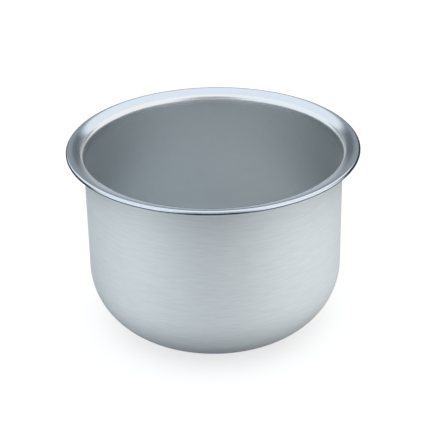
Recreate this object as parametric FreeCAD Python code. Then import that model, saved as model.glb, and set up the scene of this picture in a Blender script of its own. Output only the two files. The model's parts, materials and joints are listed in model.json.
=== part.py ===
import FreeCAD, Part
import math
import os

# Wax warmer pot: a cup drawn from one round blank of stainless sheet, in millimetres.
# It stands on z = 0 with its axis on Z. The wall flares a little at the top, the mouth is flanged,
# and the flange's edge is curled under into a bead. Nothing is welded, riveted or screwed to it.

# Driving dimensions, in millimetres and degrees
BODY_DIAMETER = 110.4  # outside of the straight wall, which drops into the warmer's well
OVERALL_HEIGHT = 83.3  # from the flat base to the top of the bead
SHEET = 0.6  # thickness of the sheet, the same all over
KNUCKLE_RADIUS = 28.3  # outside of the round corner between base and wall
FLARE_RADIUS = 30.0  # outside of the slow bend by which the wall leans out near its top
FLARE_ANGLE = 10  # lean of the wall where the mouth bend takes over
MOUTH_BEND_RADIUS = 2.0  # underside of the bend from the flare to the flange
FLANGE_WIDTH = 4.5  # straight stretch of the flange, measured up its slope
FLANGE_RISE = 15  # angle at which the flange climbs outwards
BEAD_HOLLOW = 0.7  # inside diameter of the bead's curl
CURL_GAP = 0.4  # slit between the curl's cut edge and the underside of the flange

# Directions in the profile plane, in degrees from straight out, where X is out and Z is up
STRAIGHT_OUT = 0
STRAIGHT_UP = 90
STRAIGHT_IN = 180
STRAIGHT_DOWN = -90
FULL_TURN = 360


def polar(centre, radius, angle):
    """Point at a radius and an angle from a centre, in the profile plane."""
    turn = math.radians(angle)
    return centre + FreeCAD.Vector(radius * math.cos(turn), 0, radius * math.sin(turn))


def arc(centre, radius, first, last):
    """Edge round a centre from one angle to another."""
    middle = (first + last) / 2
    ends = [polar(centre, radius, angle) for angle in (first, middle, last)]
    return Part.Arc(*ends).toShape()


# Places of the four bends, worked out from the rim inwards and downwards
body_radius = BODY_DIAMETER / 2
bead_radius = BEAD_HOLLOW / 2 + SHEET
flare_end = STRAIGHT_IN - FLARE_ANGLE
flange_normal = STRAIGHT_UP + FLANGE_RISE
knuckle_centre = FreeCAD.Vector(body_radius - KNUCKLE_RADIUS, 0, KNUCKLE_RADIUS)

# From the flare's centre to the mouth bend's, and from that to the bead's: across the flange's
# slope, then along it
mouth_from_flare = polar(FreeCAD.Vector(), FLARE_RADIUS - MOUTH_BEND_RADIUS, flare_end)
across_flange = polar(FreeCAD.Vector(), MOUTH_BEND_RADIUS - BEAD_HOLLOW / 2, flange_normal)
along_flange = polar(FreeCAD.Vector(), FLANGE_WIDTH, FLANGE_RISE)
bead_from_mouth = across_flange + along_flange
bead_height = OVERALL_HEIGHT - bead_radius
wall_top = bead_height - bead_from_mouth.z - mouth_from_flare.z
flare_centre = FreeCAD.Vector(body_radius + FLARE_RADIUS, 0, wall_top)
mouth_centre = flare_centre + mouth_from_flare
bead_centre = mouth_centre + bead_from_mouth

# The curl stops where its cut edge comes within the gap of the flange's underside
short_of_closing = math.degrees(math.acos((BEAD_HOLLOW / 2 - CURL_GAP) / bead_radius))
curl_end = flange_normal - FULL_TURN + short_of_closing


def sheet_face(depth):
    """Edges of the sheet's face at a depth from its outside, from the axis to the cut edge."""
    knuckle = arc(knuckle_centre, KNUCKLE_RADIUS - depth, STRAIGHT_DOWN, STRAIGHT_OUT)
    flare = arc(flare_centre, FLARE_RADIUS + depth, STRAIGHT_IN, flare_end)
    mouth = arc(mouth_centre, MOUTH_BEND_RADIUS + depth, flare_end, flange_normal)
    curl = arc(bead_centre, BEAD_HOLLOW / 2 + depth, flange_normal, curl_end)
    axis_point = FreeCAD.Vector(0, 0, depth)
    base = Part.makeLine(axis_point, knuckle.firstVertex().Point)
    wall = Part.makeLine(knuckle.lastVertex().Point, flare.firstVertex().Point)
    flange = Part.makeLine(mouth.lastVertex().Point, curl.firstVertex().Point)
    return [base, knuckle, wall, flare, mouth, flange, curl]


def pot_shell():
    """The whole cup: the sheet's section, turned once round the axis."""
    outside = sheet_face(0)
    inside = sheet_face(SHEET)
    cut_edge = Part.makeLine(outside[-1].lastVertex().Point, inside[-1].lastVertex().Point)
    axis_edge = Part.makeLine(inside[0].firstVertex().Point, outside[0].firstVertex().Point)
    section = Part.Wire(outside + [cut_edge] + inside[::-1] + [axis_edge])
    return Part.Face(section).revolve(FreeCAD.Vector(), FreeCAD.Vector(0, 0, 1), FULL_TURN)


shell = pot_shell()
os.makedirs("parts", exist_ok=True)
shell.exportStep("parts/pot_shell.step")

print("valid solid:", shell.isValid(), shell.ShapeType, "volume mm3:", round(shell.Volume, 2))
print("rim diameter:", round(2 * (bead_centre.x + bead_radius), 3))
print("straight wall from z", round(knuckle_centre.z, 3), "to z", round(wall_top, 3))
print("bead's lowest circle: radius", round(bead_centre.x, 3), "at z", round(bead_height - bead_radius, 3))
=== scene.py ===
# %% [markdown]
# # A wax warmer pot
# The pot is one sheet of stainless steel: drawn into a cup, flared and flanged at the mouth, and
# curled under at the edge. Its shape is simple, so what tells the eye that it is real is the finish,
# which changes along the sheet: brushed outside, polished on the rim, satin inside.
# The lesson builds the shape as one turned surface, gives each stretch its finish, and then sets up
# a small studio, because bare metal shows mostly what stands round it.

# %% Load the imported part
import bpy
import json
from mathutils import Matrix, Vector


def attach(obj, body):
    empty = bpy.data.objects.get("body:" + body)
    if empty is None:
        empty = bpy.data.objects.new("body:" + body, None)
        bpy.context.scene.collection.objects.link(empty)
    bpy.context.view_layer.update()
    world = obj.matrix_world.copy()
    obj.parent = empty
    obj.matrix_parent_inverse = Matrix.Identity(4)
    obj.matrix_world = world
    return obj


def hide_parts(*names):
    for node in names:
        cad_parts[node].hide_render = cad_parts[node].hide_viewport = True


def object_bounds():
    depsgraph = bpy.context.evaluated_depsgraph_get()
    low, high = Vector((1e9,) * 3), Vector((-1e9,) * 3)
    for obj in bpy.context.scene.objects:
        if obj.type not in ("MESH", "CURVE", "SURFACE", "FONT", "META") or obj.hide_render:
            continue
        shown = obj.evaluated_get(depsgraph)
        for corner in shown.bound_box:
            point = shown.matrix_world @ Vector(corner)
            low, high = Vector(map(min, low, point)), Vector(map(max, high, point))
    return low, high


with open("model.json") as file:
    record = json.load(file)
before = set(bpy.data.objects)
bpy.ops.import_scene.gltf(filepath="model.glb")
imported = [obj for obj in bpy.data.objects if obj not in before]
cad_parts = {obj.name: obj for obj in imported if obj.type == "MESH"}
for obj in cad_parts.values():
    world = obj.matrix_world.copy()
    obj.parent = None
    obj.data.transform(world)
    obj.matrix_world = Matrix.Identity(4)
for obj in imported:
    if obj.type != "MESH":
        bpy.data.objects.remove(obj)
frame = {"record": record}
cad_low, cad_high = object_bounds()
MM = 0.001  # in metres, Blender's unit
print("CAD box, mm:", [round((b - a) / MM, 2) for a, b in zip(cad_low, cad_high)])

# %% [markdown]
# ## Sizes
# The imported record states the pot's outside and inside wall as two round mounts, and the part's box
# gives the rim and the height. Everything else about the wall and the base follows from those.
# The record gives no sizes for the small forms of the rim, so they are named here, in metres as all
# of Blender's lengths are.

# %% Read the sizes
import json
import math

import bpy
import numpy as np
from mathutils import Matrix

mounts = {mount["name"]: mount for mount in frame["record"]["mounts"]}
outer_wall = mounts["well_fit"]
body_radius = outer_wall["dims"]["r_mm"] * MM
sheet = body_radius - mounts["inner_wall"]["dims"]["r_mm"] * MM
half_wall = outer_wall["dims"]["length_mm"] * MM / 2
knuckle_radius = outer_wall["pos_m"][2] - half_wall
wall_top = outer_wall["pos_m"][2] + half_wall
rim_radius = cad_high.x
pot_height = cad_high.z

FLARE_RADIUS = 30.0 * MM  # outside of the slow bend by which the wall leans out near its top
FLARE_ANGLE = 10.0  # degrees of that lean
MOUTH_BEND = 2.0 * MM  # underside radius of the bend from the flare to the flange
FLANGE_RISE = 15.0  # degrees that the flange climbs outwards
FLANGE_CROWN = 8.0  # degrees by which its ends lean away from that, so that it is slightly domed
BEAD_HOLLOW = 0.35 * MM  # inside radius of the curled bead
CURL_GAP = 0.4 * MM  # slit between the curl's cut edge and the flange

bead_radius = BEAD_HOLLOW + sheet
print(f"sheet {sheet / MM:.2f} mm, knuckle {knuckle_radius / MM:.1f} mm, wall to {wall_top / MM:.1f} mm")

# %% [markdown]
# ## The section of the sheet
# Cut the pot in half and the cut shows one thin strip: flat base, round knuckle, straight wall, slow
# flare, tight mouth bend, flange, curl. It could be drawn as a curve and given thickness by Solidify,
# but the strip's two faces are known exactly: each bend keeps its centre, and its radius changes by
# the sheet. So both faces are written as arcs about the same centres, and straight lines join them.
# The flange alone is not quite straight: the dark and light streaks on the real one suggest that
# curling its edge left it slightly domed, so it is a very flat parabola, a sixth of a millimetre high.

# %% Points of one face of the sheet
STRAIGHT_DOWN, STRAIGHT_OUT, STRAIGHT_UP, STRAIGHT_IN = -90.0, 0.0, 90.0, 180.0
FULL_TURN = 360.0
BASE_POINTS, KNUCKLE_POINTS, WALL_POINTS, FLARE_POINTS = 9, 40, 24, 8
MOUTH_POINTS, FLANGE_POINTS, CURL_POINTS = 20, 10, 36
flare_end = STRAIGHT_IN - FLARE_ANGLE
flange_normal = STRAIGHT_UP + FLANGE_RISE
mouth_end = flange_normal + FLANGE_CROWN
curl_start = flange_normal - FLANGE_CROWN
flare_turn = np.radians(flare_end)
knuckle_centre = np.array([body_radius - knuckle_radius, knuckle_radius])
flare_centre = np.array([body_radius + FLARE_RADIUS, wall_top])
flare_way = np.array([np.cos(flare_turn), np.sin(flare_turn)])
mouth_centre = flare_centre + (FLARE_RADIUS - MOUTH_BEND) * flare_way
bead_centre = np.array([rim_radius - bead_radius, pot_height - bead_radius])
short_of_closing = math.degrees(math.acos((BEAD_HOLLOW - CURL_GAP) / bead_radius))
curl_end = flange_normal - FULL_TURN + short_of_closing


def arc(centre, radius, first, last, count):
    """Points on a circle: centre plus radius times (cosine, sine) of evenly spaced angles."""
    turn = np.radians(np.linspace(first, last, count))
    return centre + radius * np.stack([np.cos(turn), np.sin(turn)], axis=1)


def line(start, end, count):
    """Points between two ends, both left out: start plus a share of the way to the end."""
    share = np.linspace(0, 1, count + 2)[1:-1, None]
    return start + share * (end - start)


def domed(start, end, crown, count):
    """Points of a flat parabola, both ends left out: the line between them, raised on its left by
    4h s(1 - s). The height h makes the ends lean by the crown angle: a quarter of length times tangent."""
    share = np.linspace(0, 1, count + 2)[1:-1, None]
    along = end - start
    raised = np.array([-along[1], along[0]]) * math.tan(math.radians(crown)) / 4
    return start + share * along + 4 * share * (1 - share) * raised


def sheet_face(depth):
    """One face of the sheet, from the axis to the cut edge, at a depth under the outside."""
    knuckle = arc(knuckle_centre, knuckle_radius - depth, STRAIGHT_DOWN, STRAIGHT_OUT, KNUCKLE_POINTS)
    flare = arc(flare_centre, FLARE_RADIUS + depth, STRAIGHT_IN, flare_end, FLARE_POINTS)
    mouth = arc(mouth_centre, MOUTH_BEND + depth, flare_end, mouth_end, MOUTH_POINTS)[1:]
    curl = arc(bead_centre, BEAD_HOLLOW + depth, curl_start, curl_end, CURL_POINTS)
    axis_point = np.array([0.0, depth])
    base = line(axis_point, knuckle[0], BASE_POINTS)
    wall = line(knuckle[-1], flare[0], WALL_POINTS)
    flange = domed(mouth[-1], curl[0], FLANGE_CROWN, FLANGE_POINTS)
    return np.concatenate([axis_point[None], base, knuckle, wall, flare, mouth, flange, curl])


outside = sheet_face(0.0)
inside = sheet_face(sheet)
section = np.concatenate([outside, inside[::-1]])
print(f"section of {len(section)} points, axis to axis round the curl")

# %% [markdown]
# ## Turning the section
# A pot is a surface of two parameters: how far along the section, and how far round the axis.
# Blender's Spin or Screw would do it, but they leave a seam and doubled points on the axis. Working
# the grid out with whole arrays closes the seam by counting round, and gives each pole one point.
# Each point also keeps where it lies on the sheet, as (x, y, distance along the section) in
# millimetres, so that a brushed pattern can run round the pot and stay even over the knuckle.

# %% The turned surface
SEGMENTS = 288
SHARP_ANGLE = 40.0  # degrees, which only the edges of the curl's cut end exceed


def turned_surface(name, profile):
    """Every profile point (r, z) carried round the axis: (r cos a, r sin a, z), with a pole at each
    end. The distance along the section is the running sum of the profile's steps."""
    ring = profile[1:-1]
    angle = np.arange(SEGMENTS) * (2 * np.pi / SEGMENTS)
    rounds = np.stack([np.cos(angle), np.sin(angle)], axis=1)
    grid = np.empty((len(ring), SEGMENTS, 3))
    grid[..., :2] = ring[:, None, :1] * rounds[None]
    grid[..., 2] = ring[:, None, 1]
    first_pole = np.array([[0.0, 0.0, profile[0, 1]]])
    last_pole = np.array([[0.0, 0.0, profile[-1, 1]]])
    points = np.concatenate([first_pole, grid.reshape(-1, 3), last_pole])

    column = np.arange(SEGMENTS)
    beside = (column + 1) % SEGMENTS
    row = 1 + SEGMENTS * np.arange(len(ring) - 1)[:, None]
    next_row = row + SEGMENTS
    quads = np.stack([row + column, row + beside, next_row + beside, next_row + column], axis=-1)
    last_row = 1 + SEGMENTS * (len(ring) - 1)
    last_point = np.full_like(column, len(points) - 1)
    first_fan = np.stack([np.zeros_like(column), 1 + beside, 1 + column], axis=-1)
    last_fan = np.stack([last_point, last_row + column, last_row + beside], axis=-1)
    faces = first_fan.tolist() + quads.reshape(-1, 4).tolist() + last_fan.tolist()

    mesh = bpy.data.meshes.new(name)
    mesh.from_pydata(points, [], faces)
    mesh.shade_smooth()
    mesh.set_sharp_from_angle(angle=math.radians(SHARP_ANGLE))
    step = np.linalg.norm(np.diff(profile, axis=0), axis=1)
    along = np.concatenate([[0.0], np.cumsum(step)])
    lay = points.copy()
    lay[:, 2] = np.concatenate([along[:1], np.repeat(along[1:-1], SEGMENTS), along[-1:]])
    attribute = mesh.attributes.new("lay", "FLOAT_VECTOR", "POINT")
    attribute.data.foreach_set("vector", (lay / MM).astype(np.float32).ravel())
    piece = bpy.data.objects.new(name, mesh)
    bpy.context.scene.collection.objects.link(piece)
    return piece


pot = turned_surface("pot", section)
print(f"pot: {len(pot.data.vertices)} points, {len(pot.data.polygons)} faces")

# %% [markdown]
# ## Colours and nodes
# Colours are written as sRGB hex, as a picture editor shows them, and shaders want linear light, so
# one function turns them. Another adds a node with its settings and links, and a third starts an
# empty material. No other helpers are needed for the finishes.

# %% Helpers for finishes


def linear(hex_colour):
    """sRGB hex to linear RGBA: the sRGB curve undone for each channel."""
    channels = np.array([int(hex_colour[i:i + 2], 16) for i in (1, 3, 5)]) / 255
    low = channels / 12.92
    high = ((channels + 0.055) / 1.055) ** 2.4
    return (*np.where(channels <= 0.04045, low, high), 1.0)


def add_node(tree, kind, settings=None, **inputs):
    """Adds a node, sets its properties, and gives its inputs values or links from other sockets. An
    underscore in an input's name stands for a space, and i6 is the input numbered 6."""
    node = tree.nodes.new(kind)
    for name, value in (settings or {}).items():
        setattr(node, name, value)
    for name, value in inputs.items():
        key = int(name[1:]) if name[1:].isdigit() else name.replace("_", " ")
        if isinstance(value, bpy.types.NodeSocket):
            tree.links.new(value, node.inputs[key])
        else:
            node.inputs[key].default_value = value
    return node


def new_finish(name):
    """An empty node material, its node tree and its output."""
    finish = bpy.data.materials.new(name)
    finish.use_nodes = True
    finish.node_tree.nodes.clear()
    return finish, finish.node_tree, add_node(finish.node_tree, "ShaderNodeOutputMaterial")


print(f"mid grey #808080 is {linear('#808080')[0]:.3f} in linear light")

# %% [markdown]
# ## Brushed stainless steel, outside
# The pot is spun against an abrasive belt, which leaves fine scratches that all run round it.
# To the eye that does two things. Each scratch spreads a reflection across itself, so lights and dark
# places round the pot smear up and down the wall into soft upright bands: that is the shader's
# anisotropy, turned a quarter so that it spreads up the wall and not round it. And the scratches show
# as faint level streaks. Real ones lie some hundredths of a millimetre apart, far too fine for this
# picture, so they are drawn 0.8 mm apart.

# %% Brushed finish
STREAK_ACROSS = 0.8  # mm from one drawn streak to the next, up the wall
STREAK_ALONG = 9.0  # mm that a streak runs round the pot
STREAK_DARK = "#edf2f4"
STREAK_LIGHT = "#f2f7f9"


def brushed_steel():
    """Level streaks of noise, stretched along the lay, in the colour, the roughness and the bump."""
    finish, tree, out = new_finish("brushed_stainless_steel")
    lay = add_node(tree, "ShaderNodeAttribute", {"attribute_name": "lay"}).outputs["Vector"]
    streak_scale = (1 / STREAK_ALONG, 1 / STREAK_ALONG, 1 / STREAK_ACROSS)
    streaks = add_node(tree, "ShaderNodeMapping", Vector=lay, Scale=streak_scale).outputs["Vector"]
    noise = add_node(tree, "ShaderNodeTexNoise", Vector=streaks, Scale=1.0, Detail=3.0, Roughness=0.6)
    grain = add_node(tree, "ShaderNodeMapRange", Value=noise.outputs["Fac"], From_Min=0.35, From_Max=0.65)
    grain = grain.outputs["Result"]
    colour = add_node(tree, "ShaderNodeMix", {"data_type": "RGBA"}, Factor=grain,
                      i6=linear(STREAK_DARK), i7=linear(STREAK_LIGHT))
    rough = add_node(tree, "ShaderNodeMapRange", Value=grain, To_Min=0.80, To_Max=0.84)
    bump = add_node(tree, "ShaderNodeBump", Height=grain, Strength=0.05, Distance=0.05 * MM)
    shader = add_node(tree, "ShaderNodeBsdfPrincipled", Base_Color=colour.outputs[2], Metallic=1.0,
                      Roughness=rough.outputs["Result"], Anisotropic=0.35, Anisotropic_Rotation=0.25,
                      Normal=bump.outputs["Normal"])
    tree.links.new(shader.outputs["BSDF"], out.inputs["Surface"])
    return finish


pot.data.materials.append(brushed_steel())
print("finishes:", [finish.name for finish in pot.data.materials])

# %% [markdown]
# ## Polished stainless steel, rim
# The flange and the bead are buffed after curling, so they mirror the studio in narrow bright and
# dark lines. A mirror needs little more than a low roughness, but a buffed one is never quite even:
# a slow drift in roughness keeps the lines from looking drawn.

# %% Polished finish
BUFF_DRIFT = 6.0  # mm over which the buffing changes
BUFFED = "#d8e2eb"


def polished_steel():
    """A mirror whose roughness drifts with slow noise."""
    finish, tree, out = new_finish("polished_stainless_steel")
    lay = add_node(tree, "ShaderNodeAttribute", {"attribute_name": "lay"}).outputs["Vector"]
    drift = add_node(tree, "ShaderNodeMapping", Vector=lay, Scale=(1 / BUFF_DRIFT,) * 3).outputs["Vector"]
    buff = add_node(tree, "ShaderNodeTexNoise", Vector=drift, Scale=1.0, Detail=2.0)
    rough = add_node(tree, "ShaderNodeMapRange", Value=buff.outputs["Fac"], To_Min=0.06, To_Max=0.12)
    shader = add_node(tree, "ShaderNodeBsdfPrincipled", Base_Color=linear(BUFFED), Metallic=1.0,
                      Roughness=rough.outputs["Result"])
    tree.links.new(shader.outputs["BSDF"], out.inputs["Surface"])
    return finish


pot.data.materials.append(polished_steel())
print("finishes:", [finish.name for finish in pot.data.materials])

# %% [markdown]
# ## Satin stainless steel, inside
# The inside looks lightly blasted after pressing: its dull even skin has no direction, and shows only
# broad soft shading with a slight mottle. The buffing wheel brightens the mouth bend, and its mark
# dulls out below without stopping at a line, so the colour and the roughness follow an attribute,
# "dull", which is nought on the bend and one a little way down the wall.

# %% Satin finish
MOTTLE = 5.0  # mm across a patch of the satin skin, whose real grit of 0.1 mm is too fine to show
MOTTLE_DARK = "#d8dde0"
MOTTLE_LIGHT = "#dee3e5"
BEND = "#e7ebee"


def satin_steel():
    """Patches of noise in the colour, which gives way to the bend's, and a roughness that falls to it."""
    finish, tree, out = new_finish("satin_stainless_steel")
    lay = add_node(tree, "ShaderNodeAttribute", {"attribute_name": "lay"}).outputs["Vector"]
    patch = add_node(tree, "ShaderNodeMapping", Vector=lay, Scale=(1 / MOTTLE,) * 3).outputs["Vector"]
    mottle = add_node(tree, "ShaderNodeTexNoise", Vector=patch, Scale=1.0, Detail=3.0)
    skin = add_node(tree, "ShaderNodeMix", {"data_type": "RGBA"}, Factor=mottle.outputs["Fac"],
                    i6=linear(MOTTLE_DARK), i7=linear(MOTTLE_LIGHT))
    dull = add_node(tree, "ShaderNodeAttribute", {"attribute_name": "dull"})
    colour = add_node(tree, "ShaderNodeMix", {"data_type": "RGBA"}, Factor=dull.outputs["Fac"],
                      i6=linear(BEND), i7=skin.outputs[2])
    rough = add_node(tree, "ShaderNodeMapRange", Value=dull.outputs["Fac"], To_Min=0.20, To_Max=0.42)
    shader = add_node(tree, "ShaderNodeBsdfPrincipled", Base_Color=colour.outputs[2], Metallic=1.0,
                      Roughness=rough.outputs["Result"])
    tree.links.new(shader.outputs["BSDF"], out.inputs["Surface"])
    return finish


pot.data.materials.append(satin_steel())
print("finishes:", [finish.name for finish in pot.data.materials])

# %% [markdown]
# ## Where each finish lies
# The faces follow the section row by row, so the finish of a face depends only on its row: brushed up
# to the top of the outside wall, polished round the rim, and satin from the mouth down. Painting by
# hand would do as well, but the rows know their place in the section, so a comparison is enough.

# %% Give the faces their finishes
BRUSHED, POLISHED, SATIN = range(3)
SATIN_FROM = 82.0 * MM  # height in the mouth bend at which the buffing begins to dull
SATIN_FADE = 8.0 * MM  # depth over which it dulls


def smooth_step(low, high, value):
    """Nought below low, one above high, and the S-curve 3s^2 - 2s^3 between."""
    share = np.clip((value - low) / (high - low), 0, 1)
    return share * share * (3 - 2 * share)


row_place = (section[:-1] + section[1:]) / 2
inner_side = np.arange(len(row_place)) >= len(outside)
row_finish = np.full(len(row_place), POLISHED)
row_finish[~inner_side & (row_place[:, 1] < mouth_centre[1])] = BRUSHED
row_finish[inner_side & (row_place[:, 0] < mouth_centre[0]) & (row_place[:, 1] < SATIN_FROM)] = SATIN
share = smooth_step(0, SATIN_FADE, SATIN_FROM - section[:, 1])
dull = np.concatenate([share[:1], np.repeat(share[1:-1], SEGMENTS), share[-1:]])
attribute = pot.data.attributes.new("dull", "FLOAT", "POINT")
attribute.data.foreach_set("value", dull.astype(np.float32))
pot.data.polygons.foreach_set("material_index", np.repeat(row_finish, SEGMENTS).astype(np.int32))
pot.data.update()

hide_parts("pot_shell")
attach(pot, "root")
print("rows of each finish:", np.bincount(row_finish).tolist())

# %% [markdown]
# ## Camera
# The photograph looks down into the pot from the front with a long lens. The height and the lens were
# found by fitting the rim's ellipse and the wall's edges, and the picture leans by about one degree.

# %% Camera
CAMERA_AT = (0.0003, -0.5421, 0.3364)  # m
LOOKS_DOWN = 27.94  # degrees under the horizon
LEANS = -1.05  # degrees about the line of sight
PICTURE_SIDE = 430  # pixels
FOCAL_PIXELS = 1405
SENSOR = 36.0  # mm

camera_data = bpy.data.cameras.new("camera")
camera_data.sensor_width = SENSOR
camera_data.lens = FOCAL_PIXELS / PICTURE_SIDE * SENSOR
camera = bpy.data.objects.new("camera", camera_data)
tilt = Matrix.Rotation(math.radians(STRAIGHT_UP - LOOKS_DOWN), 3, "X")
roll = Matrix.Rotation(math.radians(LEANS), 3, "Z")
camera.location = CAMERA_AT
camera.rotation_euler = (tilt @ roll).to_euler()
bpy.context.scene.collection.objects.link(camera)
bpy.context.scene.camera = camera
print(f"lens {camera_data.lens:.1f} mm")

# %% [markdown]
# ## Floor
# A plain pale table. Its paper takes the pot's soft shadow, and light of its own, which the camera and
# the metal see alike, lifts it to white. Lamps turned up until the paper is white would burn out the
# pot instead. Light Path gives the lift to seen and mirrored rays only, so nothing else is lit by it.

# %% Floor
FLOOR_SIDE = 16.0  # m
FLOOR_LIFT = 0.70  # strength of the paper's own light
PAPER = "#aaaaaa"

corners = np.array([[-1, -1, 0], [1, -1, 0], [1, 1, 0], [-1, 1, 0]]) * FLOOR_SIDE / 2
floor_mesh = bpy.data.meshes.new("floor")
floor_mesh.from_pydata(corners, [], [(0, 1, 2, 3)])
floor = bpy.data.objects.new("floor", floor_mesh)
bpy.context.scene.collection.objects.link(floor)
paper, tree, out = new_finish("pale_paper")
ray = add_node(tree, "ShaderNodeLightPath").outputs
mirrored = add_node(tree, "ShaderNodeMath", {"operation": "MAXIMUM"}, i0=ray["Is Glossy Ray"],
                    i1=ray["Is Transmission Ray"])
seen = add_node(tree, "ShaderNodeMath", {"operation": "MAXIMUM"}, i0=ray["Is Camera Ray"],
                i1=mirrored.outputs[0])
lift = add_node(tree, "ShaderNodeMath", {"operation": "MULTIPLY"}, i0=seen.outputs[0], i1=FLOOR_LIFT)
shader = add_node(tree, "ShaderNodeBsdfPrincipled", Base_Color=linear(PAPER), Roughness=1.0,
                  Specular_IOR_Level=0.0, Emission_Color=linear("#ffffff"),
                  Emission_Strength=lift.outputs[0])
tree.links.new(shader.outputs["BSDF"], out.inputs["Surface"])
floor_mesh.materials.append(paper)
print(f"floor {FLOOR_SIDE:.0f} m square, paper {linear(PAPER)[0]:.2f}, its own light {FLOOR_LIFT:.2f}")

# %% [markdown]
# ## Light
# A white tent lights the pot evenly from all round, a little cooler on the left than on the right, as
# the two sides of the wall show. It is the world itself, so it has no edge and makes no noise.

# %% Tent
TENT_LEFT = "#f3faff"
TENT_RIGHT = "#fffdfc"
TENT_STRENGTH = 1.06

world = bpy.data.worlds.new("white_tent")
bpy.context.scene.world = world
world.use_nodes = True
tree = world.node_tree
tree.nodes.clear()
way = add_node(tree, "ShaderNodeTexCoord")
axes = add_node(tree, "ShaderNodeSeparateXYZ", Vector=way.outputs["Generated"])
side = add_node(tree, "ShaderNodeMapRange", Value=axes.outputs["X"], From_Min=-1.0, From_Max=1.0)
tint = add_node(tree, "ShaderNodeMix", {"data_type": "RGBA"}, Factor=side.outputs["Result"],
                i6=linear(TENT_LEFT), i7=linear(TENT_RIGHT))
sky = add_node(tree, "ShaderNodeBackground", Color=tint.outputs[2], Strength=TENT_STRENGTH)
add_node(tree, "ShaderNodeOutputWorld", Surface=sky.outputs[0])
print(f"tent: {TENT_LEFT} to {TENT_RIGHT} at {TENT_STRENGTH}")

# %% [markdown]
# ## Dark cards
# In an even tent, bare metal loses its form: every part of it mirrors the same white. A photographer
# puts dark cards round it, out of the picture, and their reflections draw the rim and shade the wall.
# An attribute, "cover", makes a card clear towards its edges, so that the reflections end softly, and
# only mirrored rays see the cloth: it throws no shadow.

# %% Cloth of the cards
CLOTH = "#222e38"

dark_cloth, tree, out = new_finish("dark_cloth")
cover = add_node(tree, "ShaderNodeAttribute", {"attribute_name": "cover"})
clear = add_node(tree, "ShaderNodeBsdfTransparent")
dark = add_node(tree, "ShaderNodeEmission", Color=linear(CLOTH), Strength=1.0)
cloth = add_node(tree, "ShaderNodeMixShader", i0=cover.outputs["Fac"], i1=clear.outputs[0],
                 i2=dark.outputs[0])
tree.links.new(cloth.outputs[0], out.inputs["Surface"])
print("cloth:", CLOTH)

# %% [markdown]
# Each card is a path swept round the pot's axis, for as many degrees as it needs. Planes would do as
# well, but a swept card keeps its distance from a round pot, so its reflection has the same height all
# the way along the rim.

# %% Sweep of a card
ALL_ROUND = 180.0  # degrees to each side
CARD_COLUMNS = 73


def card(name, path, cover, middle=0, half_width=ALL_ROUND, feather=0, depth=1.0):
    """A path swept round the axis: (distance sin a, -distance cos a, height), for angles a that reach
    half_width to both sides of the middle, 0 being the camera's side. Its cover fades over the feather."""
    off = np.linspace(-half_width, half_width, CARD_COLUMNS)
    turn = np.radians(middle + off)
    grid = np.empty((len(path), len(turn), 3))
    grid[..., 0] = path[:, None, 0] * np.sin(turn)
    grid[..., 1] = -path[:, None, 0] * np.cos(turn)
    grid[..., 2] = path[:, None, 1]
    number = np.arange(grid.shape[0] * grid.shape[1]).reshape(grid.shape[:2])
    quads = np.stack([number[:-1, :-1], number[:-1, 1:], number[1:, 1:], number[1:, :-1]], axis=-1)
    mesh = bpy.data.meshes.new(name)
    mesh.from_pydata(grid.reshape(-1, 3), [], quads.reshape(-1, 4).tolist())
    sides = smooth_step(0, feather, half_width - np.abs(off)) if feather else np.ones_like(off)
    attribute = mesh.attributes.new("cover", "FLOAT", "POINT")
    attribute.data.foreach_set("value", (depth * cover[:, None] * sides).astype(np.float32).ravel())
    mesh.materials.append(dark_cloth)
    swept = bpy.data.objects.new(name, mesh)
    bpy.context.scene.collection.objects.link(swept)
    swept.visible_camera = False
    swept.visible_diffuse = False
    swept.visible_shadow = False
    print(f"{name}: {2 * half_width:.0f} degrees round, darkest {depth * cover.max():.2f}")


# %% [markdown]
# The first cards are close to the pot, and they are painted shade. The paper's own light fills the
# pot's shade on the table, so a dark ring on the table, where the pot shades it, puts a painted shadow
# back at the foot of the wall. Two dark mats beside it do the same at the lower wall's edges. Another
# ring is a collar 2 mm under the bead, painted shade for the dark crevice there, which draws the dark
# line along the bead's underside. Two low fins, 5 mm outside the bead, thicken that line at the left
# and the right. A real collar would hide the wall.

# %% Cards close to the pot
CLOSE_ROWS = 40
COLLAR_DROP = 2.2  # mm from the bead's underside down to the collar
FIN_GAP = 5.1  # mm from the bead out to the fins


def level_path(inner, outer, height, full_to):
    """A level path (distance, height) from inner to outer, in mm. Its cover is full, then fades."""
    distance = np.linspace(inner, outer, CLOSE_ROWS) * MM
    path = np.stack([distance, np.full(CLOSE_ROWS, height * MM)], axis=1)
    return path, 1 - smooth_step(full_to * MM, outer * MM, distance)


def upright_path(distance, bottom, top, full_to):
    """An upright path (distance, height) from bottom to top, in mm. Its cover is full, then fades."""
    height = np.linspace(bottom, top, CLOSE_ROWS) * MM
    path = np.stack([np.full(CLOSE_ROWS, distance * MM), height], axis=1)
    return path, 1 - smooth_step(full_to * MM, top * MM, height)


rim = rim_radius / MM
brim = pot_height / MM
collar_height = brim - 2 * bead_radius / MM - COLLAR_DROP
fin_distance = rim + FIN_GAP
# painted shadow: the foot ring and the two mats put back the pot's shade on the table, where the wall
# mirrors it
foot = level_path(inner=20, outer=94, height=0.3, full_to=64)
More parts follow.
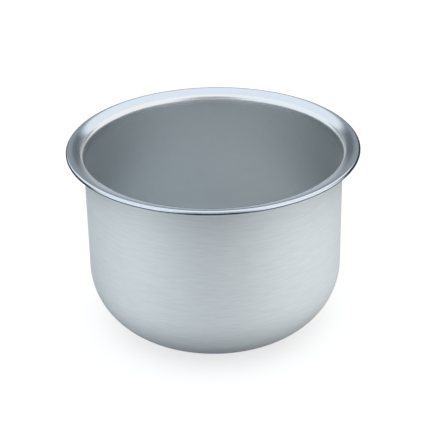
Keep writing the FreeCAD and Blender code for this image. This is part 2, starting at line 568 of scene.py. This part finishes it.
# painted shade: the collar and the two fins stand in for the dark crevice under the bead, where the bead
# mirrors it
collar = level_path(inner=rim + 0.1, outer=fin_distance, height=collar_height, full_to=rim + 3.5)
shade_mat = level_path(inner=66, outer=150, height=0.4, full_to=105)
left_fin = upright_path(fin_distance, bottom=collar_height, top=brim + 4.7, full_to=brim + 0.7)
right_fin = upright_path(fin_distance, bottom=collar_height, top=brim + 10.7, full_to=brim + 4.7)
card("foot_shadow_card", *foot)
card("collar_shade_card", *collar)
card("left_shade_mat_card", *shade_mat, middle=-108, half_width=50, feather=20, depth=0.75)
card("right_shade_mat_card", *shade_mat, middle=125, half_width=40, feather=20, depth=0.6)
card("left_fin_shade_card", *left_fin, middle=-80, half_width=38, feather=25, depth=0.95)
card("right_fin_shade_card", *right_fin, middle=86, half_width=38, feather=25, depth=0.95)

# %% [markdown]
# The other cards lie on the table and stand up behind it. The rim and the wall say where: a low dark
# front, which the middle of the wall mirrors, with a hood above it for the far bend, a grey back with
# one narrow dark strip, which draws the streaks on the flange's left and right, and two low dark
# corners at the back, which draw the bead's outer edge.

# %% Cards on the table
TABLE_ROWS, STAND_ROWS = 60, 40
ABOVE_TABLE = 0.5 * MM
LOW_TO, HIGH_FROM = 5, 20  # degrees up, between which a card with a lighter foot grows full


def table_and_up(near, near_fade, far, clear_from, clear_at, low=1.0):
    """A path (distance, height) over the table from near to far, in mm, then up, and its cover. The
    cover rises over near_fade, and falls between two elevations in degrees, as the rim sees them. Low
    down it is only a share of what it is higher up."""
    start, end = near * MM, far * MM
    top = pot_height + end * math.tan(math.radians(clear_at))
    table = np.stack([np.linspace(start, end, TABLE_ROWS), np.full(TABLE_ROWS, ABOVE_TABLE)], axis=1)
    stand_height = np.linspace(ABOVE_TABLE, top, STAND_ROWS + 1)[1:]
    stand = np.stack([np.full(STAND_ROWS, end), stand_height], axis=1)
    path = np.concatenate([table, stand])
    climb = np.degrees(np.arctan2(path[:, 1] - pot_height, end))
    rise = smooth_step(start, start + near_fade * MM, path[:, 0])
    cover = rise * (1 - smooth_step(clear_from, clear_at, climb))
    return path, cover * (low + (1 - low) * smooth_step(LOW_TO, HIGH_FROM, climb))


front = table_and_up(near=105, near_fade=30, far=650, clear_from=0, clear_at=12)
hood = table_and_up(near=649, near_fade=0.5, far=650, clear_from=45, clear_at=66, low=0.0)
back = table_and_up(near=330, near_fade=1, far=340, clear_from=29, clear_at=33, low=0.6)
strip = table_and_up(near=200, near_fade=30, far=330, clear_from=28, clear_at=32, low=0.3)
corner = table_and_up(near=190, near_fade=30, far=320, clear_from=0, clear_at=8)
card("front_card", *front, middle=0, half_width=42, feather=30, depth=0.95)
card("hood_card", *hood, middle=0, half_width=42, feather=34, depth=0.6)
card("back_card", *back, middle=180, half_width=45, feather=15, depth=0.68)
card("strip_card", *strip, middle=180, half_width=8, feather=6, depth=0.5)
card("left_corner_card", *corner, middle=-122, half_width=36, feather=12, depth=0.95)
card("right_corner_card", *corner, middle=134, half_width=36, feather=12, depth=0.95)

# %% [markdown]
# ## Picture settings
# Standard shows the colours as they are written. Blender's own view would grey the white paper.

# %% View
bpy.context.scene.view_settings.view_transform = "Standard"
print("view:", bpy.context.scene.view_settings.view_transform)
